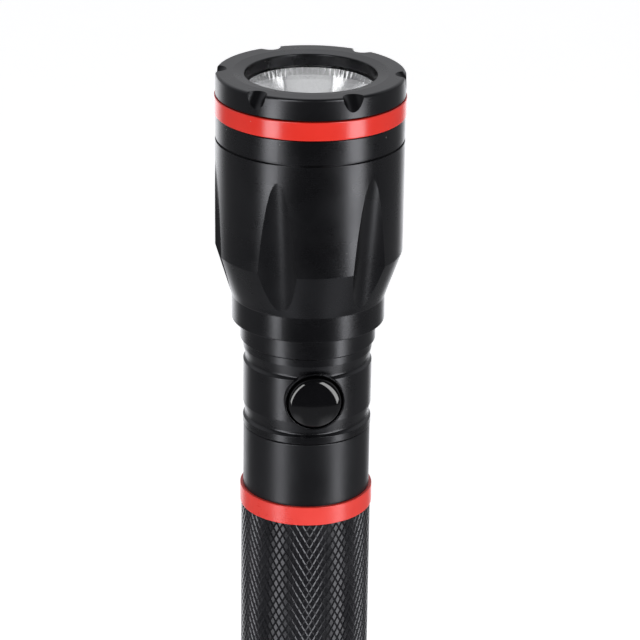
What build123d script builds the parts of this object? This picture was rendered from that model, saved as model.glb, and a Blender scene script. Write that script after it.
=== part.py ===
from build123d import *

import os
from math import atan, cos, radians, sin

# A hand torch with a side switch, standing on its tail.  +Z runs up the torch's axis to the
# front, the origin is the centre of the flat tail, and the push button faces -Y.
# Angles round the torch are counted from the button towards +X.

LENGTH = 240.0

# Heights of the outside, from the front rim down.
RIM_Z = LENGTH
BEZEL_Z = LENGTH - 4.81  # underside of the bezel's flange
HEAD_Z = LENGTH - 9.03  # front end of the head
HEAD_GROOVE_Z = LENGTH - 14.42
CONE_Z = LENGTH - 39.35  # where the head starts to taper
COLLAR_Z = LENGTH - 49.75  # where the taper meets the collar
NECK_Z = LENGTH - 55.25  # underside of the head
NECK_STEP_Z = LENGTH - 59.90
UPPER_GROOVE_Z = LENGTH - 63.60
BUTTON_Z = LENGTH - 70.00
LOWER_GROOVE_Z = LENGTH - 76.90
SLEEVE_Z = LENGTH - 80.20  # front end of the handle tube
RING_Z = LENGTH - 94.63  # front edge of the handle's accent ring
GRIP_Z = LENGTH - 99.33  # front edge of the knurled grip
CAP_Z = 20.00  # joint between handle tube and tail cap

# Radii of the outside.
BEZEL_R = 20.25
MOUTH_R = 15.30
LIP_R = 13.90
HEAD_RING_R = 20.50
HEAD_FRONT_R = 20.23
HEAD_R = 20.28
COLLAR_R = 16.65
NECK_R = 14.78
BAND_R = 14.10
NECK_END_R = 14.18
SLEEVE_R = 13.97
HANDLE_RING_R = 14.66
GRIP_R = 14.37
TAIL_R = 12.90

# Screw joints: crest and root of the outer thread, bore of the part it goes into.
PITCH = 1.25
THREAD_DEPTH = 0.45
THREAD_GAP = 0.15
SPIGOT_CHAMFER = 0.40
SEAL_LAND = 0.55  # plain length between an O-ring's groove and the thread
SEAL_PROUD = 0.10  # how far an O-ring stands out of its groove
BEZEL_THREAD_R = 18.60
NECK_THREAD_R = 12.85
SLEEVE_THREAD_R = 12.60
CAP_THREAD_R = 12.80

# Button, all along its own axis: distances are from the torch's axis outwards.
BUTTON_R = 5.72
BUTTON_EDGE = 14.20
BUTTON_DOME = 1.90  # how far the dome stands out of its edge
BUTTON_RING_R = 6.30
BUTTON_RING_BACK = 11.25
BUTTON_RING_FACE = 14.35
BUTTON_FLANGE = 10.50
BUTTON_FLANGE_THICK = 0.60
BUTTON_SHELF = 6.80
SWITCH_FLOOR = 1.80
SWITCH_SIDE = 6.00
SWITCH_TOP = 7.00
PLUNGER_TOP = 8.70  # where the button's post meets the switch's plunger

# Rechargeable cells, 22.6 mm across and 42.5 mm long.
CELL_R = 11.30
CELL_LENGTH = 42.50
CELL_COUNT = 3
CELL_BOTTOM_Z = LENGTH - 216.50

REPEATS = 6  # scallops and flutes round the head
SCALLOP_ANGLE = 19.3
FLUTE_ANGLE = 33.6


def outward(angle):
    """Horizontal unit vector at an angle from the button's side towards +X."""
    return Vector(sin(radians(angle)), -cos(radians(angle)), 0)


def across(angle):
    """Horizontal unit vector square to outward(angle)."""
    return Vector(cos(radians(angle)), sin(radians(angle)), 0)


def outline(points, plane=Plane.XZ):
    """Closed outline of (radius, height) points in a plane through the axis."""
    with BuildSketch(plane) as sketch:
        with BuildLine():
            Polyline(*points, close=True)
        make_face()
    return sketch.sketch


def thread(crest, low, high):
    """Points up the outside of a male thread, drawn as ring grooves of one pitch each."""
    points = []
    turns = int((high - low) / PITCH)
    for turn in range(turns):
        foot = low + turn * PITCH
        points.append((crest, foot))
        points.append((crest - THREAD_DEPTH, foot + PITCH * 0.5))
    points.append((crest, low + turns * PITCH))
    return points


def seal_groove(crest, height, section):
    """Points up an O-ring's groove in a spigot."""
    root = crest - 2 * section + SEAL_PROUD
    return [
        (crest, height - section),
        (root, height - section),
        (root, height + section),
        (crest, height + section),
    ]


def seal(crest, height, section):
    """O-ring that lies in the groove of the same crest, height and section radius."""
    with BuildPart() as ring:
        with BuildSketch(Plane.XZ):
            with Locations((crest - section + SEAL_PROUD, height)):
                Circle(section)
        revolve(axis=Axis.Z)
    return ring.part


def button_plane(distance):
    """Plane across the button's axis, facing out, at a distance from the torch's axis."""
    return Plane(origin=(0, -distance, BUTTON_Z), x_dir=(1, 0, 0), z_dir=(0, -1, 0))


def save(part, name):
    part.label = name
    export_step(part, f"parts/{name}.step")


os.makedirs("parts", exist_ok=True)

# ---------------------------------------------------------------- front end
GLASS_Z = LENGTH - 3.40  # top face of the glass
GLASS_R = 15.00
GLASS_THICK = 2.00
FRONT_BORE_R = 16.10
SPIGOT_Z = LENGTH - 18.50
BEZEL_SEAL_Z = LENGTH - 17.30
SEAL_SECTION = 0.55
LENS_SEAL_GAP = 0.20
SCALLOP_R = 2.10
SCALLOP_DEPTH = 2.60
SCALLOP_TILT = 34.0
SCALLOP_LEAD = 4.0  # how far the cutter starts above the rim
SCALLOP_RUN = 14.0

with BuildPart() as bezel_ring:
    spigot = [
        (FRONT_BORE_R, SPIGOT_Z),
        (BEZEL_THREAD_R - SPIGOT_CHAMFER, SPIGOT_Z),
        (BEZEL_THREAD_R, SPIGOT_Z + SPIGOT_CHAMFER),
    ]
    spigot += seal_groove(BEZEL_THREAD_R, BEZEL_SEAL_Z, SEAL_SECTION)
    spigot += thread(BEZEL_THREAD_R, BEZEL_SEAL_Z + SEAL_SECTION + SEAL_LAND, HEAD_Z - SEAL_LAND)
    flange = [
        (BEZEL_THREAD_R, BEZEL_Z),
        (BEZEL_R, BEZEL_Z),
        (BEZEL_R, RIM_Z),
        (MOUTH_R, RIM_Z),
        (LIP_R, GLASS_Z + 0.3),
        (LIP_R, GLASS_Z),
        (FRONT_BORE_R, GLASS_Z),
    ]
    revolve(outline(spigot + flange), axis=Axis.Z)
    rim_edges = bezel_ring.edges().filter_by(GeomType.CIRCLE).group_by(Axis.Z)[-1]
    fillet(rim_edges.sort_by(SortBy.RADIUS)[-1], radius=0.55)
    fillet(rim_edges.sort_by(SortBy.RADIUS)[0], radius=0.25)
    for step in range(REPEATS):
        angle = SCALLOP_ANGLE + step * 360 / REPEATS
        side = outward(angle)
        floor = side * (BEZEL_R - SCALLOP_DEPTH) + Vector(0, 0, RIM_Z)
        down = side * sin(radians(SCALLOP_TILT)) - Vector(0, 0, cos(radians(SCALLOP_TILT)))
        away = side * cos(radians(SCALLOP_TILT)) + Vector(0, 0, sin(radians(SCALLOP_TILT)))
        start = floor + away * SCALLOP_R - down * SCALLOP_LEAD
        with BuildSketch(Plane(origin=start, x_dir=across(angle), z_dir=down)):
            Circle(SCALLOP_R)
        extrude(amount=SCALLOP_RUN, mode=Mode.SUBTRACT)
save(bezel_ring.part, "bezel_ring")

bezel_seal = seal(BEZEL_THREAD_R, BEZEL_SEAL_Z, SEAL_SECTION)
save(bezel_seal, "bezel_seal")

with BuildPart() as head_accent_ring:
    ring = [
        (BEZEL_THREAD_R + THREAD_GAP, HEAD_Z),
        (HEAD_RING_R, HEAD_Z),
        (HEAD_RING_R, BEZEL_Z),
        (BEZEL_THREAD_R + THREAD_GAP, BEZEL_Z),
    ]
    revolve(outline(ring), axis=Axis.Z)
    chamfer(head_accent_ring.edges().filter_by(GeomType.CIRCLE).group_by(SortBy.RADIUS)[-1], 0.22)
save(head_accent_ring.part, "head_accent_ring")

with BuildPart() as lens:
    with BuildSketch(Plane.XY.offset(GLASS_Z)):
        Circle(GLASS_R)
    extrude(amount=-GLASS_THICK)
    chamfer(lens.edges().filter_by(GeomType.CIRCLE), 0.15)
save(lens.part, "lens")

with BuildPart() as lens_seal:
    with BuildSketch(Plane.XY.offset(GLASS_Z)):
        Circle(FRONT_BORE_R - LENS_SEAL_GAP)
        Circle(GLASS_R + 0.02, mode=Mode.SUBTRACT)
    extrude(amount=-GLASS_THICK)
save(lens_seal.part, "lens_seal")

# ---------------------------------------------------------------- reflector and light source
REFLECTOR_Z = GLASS_Z - GLASS_THICK
REFLECTOR_MOUTH_R = 13.20
REFLECTOR_HOLE_R = 4.00
REFLECTOR_DEPTH = 20.00
REFLECTOR_WALL = 1.20
REFLECTOR_FLANGE = 1.50
REFLECTOR_FLANGE_R = FRONT_BORE_R - 0.30
REFLECTOR_FOOT_R = REFLECTOR_HOLE_R + 1.60
BOWL_SPANS = 6  # curve points along the bowl, less one
BOWL_BACK_DROP = 0.40  # how far the back of the bowl lies below its face
# The bowl is a parabola r^2 = BOWL * h, with h counted up from its vertex.
BOWL = (REFLECTOR_MOUTH_R**2 - REFLECTOR_HOLE_R**2) / REFLECTOR_DEPTH
BOWL_VERTEX_Z = REFLECTOR_Z - REFLECTOR_MOUTH_R**2 / BOWL
GASKET_THICK = 0.50
BOARD_Z = REFLECTOR_Z - REFLECTOR_DEPTH - GASKET_THICK
BOARD_R = 10.00
BOARD_THICK = 1.60
PILL_Z = BOARD_Z - BOARD_THICK


def bowl_point(radius):
    return (radius, BOWL_VERTEX_Z + radius**2 / BOWL)


with BuildPart() as reflector:
    with BuildSketch(Plane.XZ):
        with BuildLine():
            radius_step = (REFLECTOR_MOUTH_R - REFLECTOR_HOLE_R) / BOWL_SPANS
            bowl = [bowl_point(REFLECTOR_HOLE_R + i * radius_step) for i in range(BOWL_SPANS + 1)]
            inside = Spline(*bowl)
            foot = Line(bowl[0], (REFLECTOR_FOOT_R, bowl[0][1]))
            outside = Spline(*[(r + REFLECTOR_WALL, z - BOWL_BACK_DROP) for r, z in bowl[1:]])
            Line(foot @ 1, outside @ 0)
            Polyline(
                outside @ 1,
                (REFLECTOR_FLANGE_R, REFLECTOR_Z - REFLECTOR_FLANGE),
                (REFLECTOR_FLANGE_R, REFLECTOR_Z),
                inside @ 1,
            )
        make_face()
    revolve(axis=Axis.Z)
save(reflector.part, "reflector")

GASKET_R = 6.50
GASKET_HOLE_R = 4.20

with BuildPart() as led_gasket:
    with BuildSketch(Plane.XY.offset(BOARD_Z)):
        Circle(GASKET_R)
        Circle(GASKET_HOLE_R, mode=Mode.SUBTRACT)
    extrude(amount=GASKET_THICK)
save(led_gasket.part, "led_gasket")

SCREW_PLACE_R = 8.40
SCREW_R = 0.95
SCREW_LENGTH = 4.40
SCREW_HEAD_R = 1.60
SCREW_HEAD = 1.20
SCREW_SLOT = 0.40
SCREW_SLOT_LENGTH = 2.20
SCREW_SLOT_DEPTH = 0.45
LEAD_PLACE_R = 8.00
LEAD_R = 0.60
LEAD_TAIL = 0.60  # how far the wires stand out of the LED board

with BuildPart() as led_board:
    with BuildSketch(Plane.XY.offset(BOARD_Z)):
        Circle(BOARD_R)
        with PolarLocations(SCREW_PLACE_R, 2):
            Circle(SCREW_R + 0.15, mode=Mode.SUBTRACT)
        with PolarLocations(LEAD_PLACE_R, 2, start_angle=90):
            Circle(LEAD_R + 0.3, mode=Mode.SUBTRACT)
    extrude(amount=-BOARD_THICK)
save(led_board.part, "led_board")

LED_SIDE = 5.0
LED_THICK = 0.9
LED_DOME_R = 2.2
LED_DOME_Z = BOARD_Z + LED_THICK - 0.2  # centre of the dome, just inside the package

with BuildPart() as led_emitter:
    with BuildSketch(Plane.XY.offset(BOARD_Z)):
        Rectangle(LED_SIDE, LED_SIDE)
    extrude(amount=LED_THICK)
    with BuildSketch(Plane.XZ):
        with BuildLine():
            dome = CenterArc((0, LED_DOME_Z), LED_DOME_R, 0, 90)
            Polyline(dome @ 1, (0, LED_DOME_Z - 0.2), (LED_DOME_R, LED_DOME_Z - 0.2), dome @ 0)
        make_face()
    revolve(axis=Axis.Z)
save(led_emitter.part, "led_emitter")

with BuildPart() as led_board_screws:
    with BuildSketch(Plane.XY.offset(BOARD_Z)):
        with PolarLocations(SCREW_PLACE_R, 2):
            Circle(SCREW_HEAD_R)
    extrude(amount=SCREW_HEAD)
    with BuildSketch(Plane.XY.offset(BOARD_Z)):
        with PolarLocations(SCREW_PLACE_R, 2):
            Circle(SCREW_R)
    extrude(amount=-SCREW_LENGTH)
    with BuildSketch(Plane.XY.offset(BOARD_Z + SCREW_HEAD)):
        with PolarLocations(SCREW_PLACE_R, 2):
            Rectangle(SCREW_SLOT_LENGTH, SCREW_SLOT)
            Rectangle(SCREW_SLOT, SCREW_SLOT_LENGTH)
    extrude(amount=-SCREW_SLOT_DEPTH, mode=Mode.SUBTRACT)
save(led_board_screws.part, "led_board_screws")

# ---------------------------------------------------------------- pill and driver
PILL_BORE_R = 16.25
PILL_R = PILL_BORE_R - 0.03
PILL_PLATE = 4.00  # thickness of the pill's solid top
PILL_LEDGE_Z = PILL_Z - 6.30
PILL_CUP_R = 12.90
PILL_END_Z = PILL_Z - 12.30
CUP_BORE_R = 11.00
DRIVER_R = 11.90
DRIVER_THICK = 1.50
DRIVER_Z = PILL_END_Z + DRIVER_THICK  # top face of the driver board
HEAD_BORE_R = 13.00
BOARD_CUP_R = DRIVER_R + 0.10

with BuildPart() as heat_sink:
    pill = [
        (0, PILL_Z),
        (PILL_R, PILL_Z),
        (PILL_R, PILL_LEDGE_Z),
        (PILL_CUP_R, PILL_LEDGE_Z),
        (PILL_CUP_R, PILL_END_Z),
        (BOARD_CUP_R, PILL_END_Z),
        (BOARD_CUP_R, DRIVER_Z),
        (CUP_BORE_R, DRIVER_Z),
        (CUP_BORE_R, PILL_Z - PILL_PLATE),
        (0, PILL_Z - PILL_PLATE),
    ]
    revolve(outline(pill), axis=Axis.Z)
    with BuildSketch(Plane.XY.offset(PILL_Z)):
        with PolarLocations(SCREW_PLACE_R, 2):
            Circle(SCREW_R + 0.05)
        with PolarLocations(LEAD_PLACE_R, 2, start_angle=90):
            Circle(LEAD_R + 0.4)
    extrude(amount=-PILL_PLATE, mode=Mode.SUBTRACT)
save(heat_sink.part, "heat_sink")

with BuildPart() as led_leads:
    with BuildSketch(Plane.XY.offset(DRIVER_Z)):
        with PolarLocations(LEAD_PLACE_R, 2, start_angle=90):
            Circle(LEAD_R)
    extrude(amount=BOARD_Z + LEAD_TAIL - DRIVER_Z)
save(led_leads.part, "led_leads")

COIL_R = 3.20
COIL_HEIGHT = 3.00
CHIP_WIDTH = 3.00
CHIP_LENGTH = 3.80
CHIP_HEIGHT = 1.40
PASSIVE_WIDTH = 1.60
PASSIVE_LENGTH = 1.00
PASSIVE_HEIGHT = 0.80

with BuildPart() as driver_board:
    with BuildSketch(Plane.XY.offset(DRIVER_Z)):
        Circle(DRIVER_R)
    extrude(amount=-DRIVER_THICK)
    with BuildSketch(Plane.XY.offset(DRIVER_Z)):
        Circle(COIL_R)
    extrude(amount=COIL_HEIGHT)
    with BuildSketch(Plane.XY.offset(DRIVER_Z)):
        with Locations((-7.0, 2.5), (7.0, -2.5)):
            Rectangle(CHIP_WIDTH, CHIP_LENGTH)
    extrude(amount=CHIP_HEIGHT)
    with BuildSketch(Plane.XY.offset(DRIVER_Z)):
        with Locations((-6.5, -3.5), (6.5, 3.5), (4.0, 6.0), (-4.0, -6.0)):
            Rectangle(PASSIVE_WIDTH, PASSIVE_LENGTH)
    extrude(amount=PASSIVE_HEIGHT)
save(driver_board.part, "driver_board")

NOTCH_WIDTH = 2.40  # along the radius, for the tool that turns a retaining ring
NOTCH_LENGTH = 1.60
DRIVER_RING_BORE_R = 9.50
DRIVER_RING_THICK = 1.50

with BuildPart() as driver_retaining_ring:
    with BuildSketch(Plane.XY.offset(PILL_END_Z)):
        Circle(HEAD_BORE_R - 0.05)
        Circle(DRIVER_RING_BORE_R, mode=Mode.SUBTRACT)
        with PolarLocations(DRIVER_RING_BORE_R + 0.9, 2, start_angle=45):
            Rectangle(NOTCH_WIDTH, NOTCH_LENGTH, mode=Mode.SUBTRACT)
    extrude(amount=-DRIVER_RING_THICK)
save(driver_retaining_ring.part, "driver_retaining_ring")

# ---------------------------------------------------------------- head
FLUTE_TIP_Z = LENGTH - 18.70
FLUTE_END_Z = LENGTH - 49.00
GROOVE_WIDTH = 0.45
GROOVE_DEPTH = 0.30
# The flute's floor sinks along the cylinder and meets the taper's surface at its lower end.
TAPER = (HEAD_R - COLLAR_R) / (CONE_Z - COLLAR_Z)
FLUTE_LEAN = atan(TAPER * (CONE_Z - FLUTE_END_Z) / (FLUTE_TIP_Z - FLUTE_END_Z))
FLUTE_R = 5.50
FLUTE_LEAD = 12.0  # how far the cutter starts above the flute's tip
FLUTE_OVERRUN = 0.60
FLUTE_RUN = (FLUTE_TIP_Z - FLUTE_END_Z + FLUTE_OVERRUN) / cos(FLUTE_LEAN)
BEZEL_SOCKET_Z = SPIGOT_Z - 0.50
HEAD_CHAMFER = 0.15
# The head is turned from a half-plane that lies between two flutes.
LAND_PLANE = Plane(origin=(0, 0, 0), x_dir=outward(FLUTE_ANGLE + 30), z_dir=-across(FLUTE_ANGLE + 30))

with BuildPart() as head_housing:
    shell = [
        (BEZEL_THREAD_R + THREAD_GAP, HEAD_Z),
        (HEAD_FRONT_R, HEAD_Z),
        (HEAD_FRONT_R, HEAD_GROOVE_Z + GROOVE_WIDTH / 2),
        (HEAD_R - GROOVE_DEPTH, HEAD_GROOVE_Z + GROOVE_WIDTH / 2),
        (HEAD_R - GROOVE_DEPTH, HEAD_GROOVE_Z - GROOVE_WIDTH / 2),
        (HEAD_R, HEAD_GROOVE_Z - GROOVE_WIDTH / 2),
        (HEAD_R, CONE_Z),
        (COLLAR_R, COLLAR_Z),
        (COLLAR_R, NECK_Z + HEAD_CHAMFER),
        (COLLAR_R - HEAD_CHAMFER, NECK_Z),
        (HEAD_BORE_R, NECK_Z),
        (HEAD_BORE_R, PILL_LEDGE_Z),
        (PILL_BORE_R, PILL_LEDGE_Z),
        (PILL_BORE_R, BEZEL_SOCKET_Z),
        (BEZEL_THREAD_R + THREAD_GAP, BEZEL_SOCKET_Z),
    ]
    revolve(outline(shell, LAND_PLANE), axis=Axis.Z)
    for step in range(REPEATS):
        angle = FLUTE_ANGLE + step * 360 / REPEATS
        side = outward(angle)
        along = side * -sin(FLUTE_LEAN) - Vector(0, 0, cos(FLUTE_LEAN))
        away = side * cos(FLUTE_LEAN) - Vector(0, 0, sin(FLUTE_LEAN))
        tip = side * HEAD_R + Vector(0, 0, FLUTE_TIP_Z)
        start = tip + away * FLUTE_R - along * FLUTE_LEAD
        with BuildSketch(Plane(origin=start, x_dir=across(angle), z_dir=along)):
            Circle(FLUTE_R)
        extrude(amount=FLUTE_LEAD + FLUTE_RUN, mode=Mode.SUBTRACT)
save(head_housing.part, "head_housing")

# ---------------------------------------------------------------- neck with the switch
NECK_TOP_Z = LENGTH - 45.50
NECK_SEAL_Z = NECK_Z + 1.15
CARRIER_Z = LENGTH - 57.00
CARRIER_R = 10.90
NECK_BORE_R = 11.00
TAIL_SPIGOT_Z = LENGTH - 90.20
HANDLE_SEAL_Z = SLEEVE_Z - 1.40
SMALL_SECTION = 0.45
LIP_R_STEP = 0.60  # step in the neck's bore that stops the switch carrier

with BuildPart() as switch_housing:
    barrel = [
        (NECK_BORE_R, TAIL_SPIGOT_Z),
        (SLEEVE_THREAD_R, TAIL_SPIGOT_Z),
    ]
    thread_top = HANDLE_SEAL_Z - SMALL_SECTION - SEAL_LAND
    barrel += thread(SLEEVE_THREAD_R, TAIL_SPIGOT_Z + SPIGOT_CHAMFER, thread_top)
    barrel += seal_groove(SLEEVE_THREAD_R, HANDLE_SEAL_Z, SMALL_SECTION)
    barrel += [
        (SLEEVE_THREAD_R, SLEEVE_Z),
        (NECK_END_R - 0.2, SLEEVE_Z),
        (NECK_END_R, SLEEVE_Z + 0.2),
        (NECK_END_R, LOWER_GROOVE_Z - 1.25),
        (BAND_R - 0.62, LOWER_GROOVE_Z),
        (BAND_R, LOWER_GROOVE_Z + 1.35),
        (BAND_R, UPPER_GROOVE_Z - 1.95),
        (BAND_R - 0.22, UPPER_GROOVE_Z - 1.80),
        (BAND_R - 0.22, UPPER_GROOVE_Z - 1.60),
        (BAND_R - 0.02, UPPER_GROOVE_Z - 1.50),
        (BAND_R - 0.70, UPPER_GROOVE_Z),
        (BAND_R - 0.05, UPPER_GROOVE_Z + 1.45),
        (BAND_R - 0.05, NECK_STEP_Z - 0.45),
        (NECK_R, NECK_STEP_Z),
        (NECK_R, NECK_Z),
        (NECK_THREAD_R, NECK_Z),
    ]
    barrel += seal_groove(NECK_THREAD_R, NECK_SEAL_Z, SMALL_SECTION)
    thread_foot = NECK_SEAL_Z + SMALL_SECTION + SEAL_LAND
    barrel += thread(NECK_THREAD_R, thread_foot, NECK_TOP_Z - SPIGOT_CHAMFER)
    barrel += [
        (NECK_BORE_R - LIP_R_STEP, NECK_TOP_Z),
        (NECK_BORE_R - LIP_R_STEP, CARRIER_Z),
        (NECK_BORE_R, CARRIER_Z),
    ]
    revolve(outline(barrel), axis=Axis.Z)
    with BuildSketch(button_plane(0)):
        Circle(BUTTON_RING_R + 0.02)
    extrude(amount=NECK_R, mode=Mode.SUBTRACT)
save(switch_housing.part, "switch_housing")

neck_seal = seal(NECK_THREAD_R, NECK_SEAL_Z, SMALL_SECTION)
save(neck_seal, "neck_seal")

handle_seal = seal(SLEEVE_THREAD_R, HANDLE_SEAL_Z, SMALL_SECTION)
save(handle_seal, "handle_seal")

with BuildPart() as button_ring:
    with BuildSketch(button_plane(BUTTON_RING_BACK)):
        Circle(BUTTON_RING_R)
        Circle(BUTTON_R + 0.08, mode=Mode.SUBTRACT)
    extrude(amount=BUTTON_RING_FACE - BUTTON_RING_BACK)
    fillet(button_ring.faces().sort_by(Axis.Y)[0].outer_wire().edges(), radius=0.25)
save(button_ring.part, "button_ring")

BUTTON_FLANGE_R = BUTTON_R + 0.48
CAP_HOLLOW_R = 4.60
CAP_HOLLOW = 12.90  # inside face of the button's dome
POST_R = 1.40

with BuildPart() as button_cap:
    # One half of the section beside the button's axis, turned about that axis.
    with BuildSketch(Plane(origin=(0, 0, BUTTON_Z), x_dir=(1, 0, 0), z_dir=(0, 0, 1))):
        with BuildLine():
            dome_r = (BUTTON_R**2 + BUTTON_DOME**2) / (2 * BUTTON_DOME)
            middle = (BUTTON_R / 2, -(BUTTON_EDGE + BUTTON_DOME - dome_r))
            rise = (dome_r**2 - (BUTTON_R / 2) ** 2) ** 0.5
            dome = ThreePointArc(
                (0, -(BUTTON_EDGE + BUTTON_DOME)),
                (middle[0], middle[1] - rise),
                (BUTTON_R, -BUTTON_EDGE),
            )
            Polyline(
                dome @ 1,
                (BUTTON_R, -(BUTTON_FLANGE + BUTTON_FLANGE_THICK)),
                (BUTTON_FLANGE_R, -(BUTTON_FLANGE + BUTTON_FLANGE_THICK)),
                (BUTTON_FLANGE_R, -BUTTON_FLANGE),
                (CAP_HOLLOW_R, -BUTTON_FLANGE),
                (CAP_HOLLOW_R, -CAP_HOLLOW),
                (POST_R, -CAP_HOLLOW),
                (POST_R, -PLUNGER_TOP),
                (0, -PLUNGER_TOP),
                dome @ 0,
            )
        make_face()
    revolve(axis=Axis((0, 0, BUTTON_Z), (0, 1, 0)))
    fillet(button_cap.edges().filter_by(GeomType.CIRCLE).filter_by(
        lambda edge: abs(edge.center().Y + BUTTON_EDGE) < 0.01), radius=0.35)
save(button_cap.part, "button_cap")

PLUNGER_R = 1.20
PLUNGER_LENGTH = 3.70
PLUNGER_BORE = 3.80  # depth of the plunger's hole in the switch

with BuildPart() as switch_plunger:
    with BuildSketch(button_plane(PLUNGER_TOP - PLUNGER_LENGTH)):
        Circle(PLUNGER_R)
    extrude(amount=PLUNGER_LENGTH)
save(switch_plunger.part, "switch_plunger")

with BuildPart() as switch_body:
    with BuildSketch(button_plane(SWITCH_FLOOR)):
        Rectangle(SWITCH_SIDE, SWITCH_SIDE)
    extrude(amount=SWITCH_TOP - SWITCH_FLOOR)
    with BuildSketch(button_plane(SWITCH_TOP)):
        Circle(PLUNGER_R + 0.1)
    extrude(amount=-PLUNGER_BORE, mode=Mode.SUBTRACT)
save(switch_body.part, "switch_body")

SPRING_R = 5.30
SPRING_WIRE = 0.25
SPRING_TURNS = 3

with BuildPart() as switch_spring:
    coil_length = BUTTON_FLANGE - BUTTON_SHELF - 2 * SPRING_WIRE
    with BuildLine() as coil:
        Helix(
            pitch=coil_length / SPRING_TURNS,
            height=coil_length,
            radius=SPRING_R,
            center=(0, -(BUTTON_SHELF + SPRING_WIRE), BUTTON_Z),
            direction=(0, -1, 0),
        )
    with BuildSketch(Plane(origin=coil.line @ 0, z_dir=coil.line % 0)):
        Circle(SPRING_WIRE - 0.02)
    sweep(path=coil.line)
save(switch_spring.part, "switch_spring")

CARRIER_END_Z = LENGTH - 86.00
SWITCH_LEAD_X = 6.00
SWITCH_LEAD_DEPTH = 12.00  # how far the switch's wires run down into the carrier
PIN_R = 1.20  # the front contact's pin, pressed into the carrier
PIN_LENGTH = 5.80

with BuildPart() as switch_carrier:
    with BuildSketch(Plane.XY.offset(CARRIER_Z)):
        Circle(CARRIER_R)
    extrude(amount=CARRIER_END_Z - CARRIER_Z)
    with BuildSketch(button_plane(BUTTON_SHELF)):
        Circle(BUTTON_RING_R + 0.1)
    extrude(amount=CARRIER_R, mode=Mode.SUBTRACT)
    with BuildSketch(button_plane(SWITCH_FLOOR)):
        Rectangle(SWITCH_SIDE + 0.1, SWITCH_SIDE + 0.1)
    extrude(amount=CARRIER_R, mode=Mode.SUBTRACT)
    with BuildSketch(Plane.XY.offset(CARRIER_Z)):
        with Locations((SWITCH_LEAD_X, 0), (-SWITCH_LEAD_X, 0)):
            Circle(LEAD_R + 0.1)
    extrude(amount=-SWITCH_LEAD_DEPTH, mode=Mode.SUBTRACT)
    with BuildSketch(Plane.XY.offset(CARRIER_END_Z)):
        Circle(PIN_R + 0.05)
    extrude(amount=PIN_LENGTH + 0.2, mode=Mode.SUBTRACT)
save(switch_carrier.part, "switch_carrier")

with BuildPart() as switch_leads:
    with BuildSketch(Plane.XY.offset(PILL_END_Z)):
        with Locations((SWITCH_LEAD_X, 0), (-SWITCH_LEAD_X, 0)):
            Circle(LEAD_R)
    extrude(amount=CARRIER_Z - SWITCH_LEAD_DEPTH - PILL_END_Z)
save(switch_leads.part, "switch_leads")

CARRIER_RING_BORE_R = 7.00
CARRIER_RING_THICK = 2.50

with BuildPart() as carrier_retaining_ring:
    with BuildSketch(Plane.XY.offset(CARRIER_END_Z)):
        Circle(NECK_BORE_R - 0.05)
        Circle(CARRIER_RING_BORE_R, mode=Mode.SUBTRACT)
        with PolarLocations(CARRIER_RING_BORE_R + 0.6, 2):
            Rectangle(NOTCH_WIDTH, NOTCH_LENGTH, mode=Mode.SUBTRACT)
    extrude(amount=-CARRIER_RING_THICK)
save(carrier_retaining_ring.part, "carrier_retaining_ring")

# ---------------------------------------------------------------- batteries
CELL_NUB_R = 4.50
CELL_NUB = 1.30
CELL_SHOULDER = 0.80
CELL_FOOT = 0.50
PLUS_Z = CELL_BOTTOM_Z + CELL_COUNT * CELL_LENGTH  # top of the front cell's nub
CONTACT_R = 2.50
CONTACT_FLANGE_R = 5.00
CONTACT_FLANGE = 1.00

with BuildPart() as battery_plus_contact:
    contact = [
        (0, PLUS_Z),
        (CONTACT_R, PLUS_Z),
        (CONTACT_R, CARRIER_END_Z - CONTACT_FLANGE),
        (CONTACT_FLANGE_R, CARRIER_END_Z - CONTACT_FLANGE),
        (CONTACT_FLANGE_R, CARRIER_END_Z),
        (PIN_R, CARRIER_END_Z),
        (PIN_R, CARRIER_END_Z + PIN_LENGTH),
        (0, CARRIER_END_Z + PIN_LENGTH),
    ]
    revolve(outline(contact), axis=Axis.Z)
save(battery_plus_contact.part, "battery_plus_contact")

for number in range(CELL_COUNT):
    cell_top = PLUS_Z - number * CELL_LENGTH
    can = [
        (0, cell_top),
        (CELL_NUB_R, cell_top),
        (CELL_NUB_R, cell_top - CELL_NUB),
        (CELL_R - CELL_SHOULDER, cell_top - CELL_NUB),
        (CELL_R, cell_top - CELL_NUB - CELL_SHOULDER),
        (CELL_R, cell_top - CELL_LENGTH + CELL_FOOT),
        (CELL_R - CELL_FOOT, cell_top - CELL_LENGTH),
        (0, cell_top - CELL_LENGTH),
    ]
    with BuildPart() as cell:
        revolve(outline(can), axis=Axis.Z)
    save(cell.part, f"battery_cell_{number + 1}")

# ---------------------------------------------------------------- handle
TUBE_BORE_R = 11.75
TUBE_CHAMFER = 0.60
SLEEVE_CHAMFER = 0.20
CAP_SOCKET_Z = CAP_Z + 11.50
SLEEVE_SOCKET_Z = TAIL_SPIGOT_Z - 1.00

with BuildPart() as handle_tube:
    tube = [
        (SLEEVE_THREAD_R + THREAD_GAP, SLEEVE_Z),
        (SLEEVE_R - SLEEVE_CHAMFER, SLEEVE_Z),
        (SLEEVE_R, SLEEVE_Z - SLEEVE_CHAMFER),
        (SLEEVE_R, GRIP_Z),
        (GRIP_R, GRIP_Z),
        (GRIP_R, CAP_Z + TUBE_CHAMFER),
        (GRIP_R - TUBE_CHAMFER, CAP_Z),
        (CAP_THREAD_R + THREAD_GAP, CAP_Z),
        (CAP_THREAD_R + THREAD_GAP, CAP_SOCKET_Z),
        (TUBE_BORE_R, CAP_SOCKET_Z),
        (TUBE_BORE_R, SLEEVE_SOCKET_Z),
        (SLEEVE_THREAD_R + THREAD_GAP, SLEEVE_SOCKET_Z),
    ]
    revolve(outline(tube), axis=Axis.Z)
save(handle_tube.part, "handle_tube")

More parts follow.
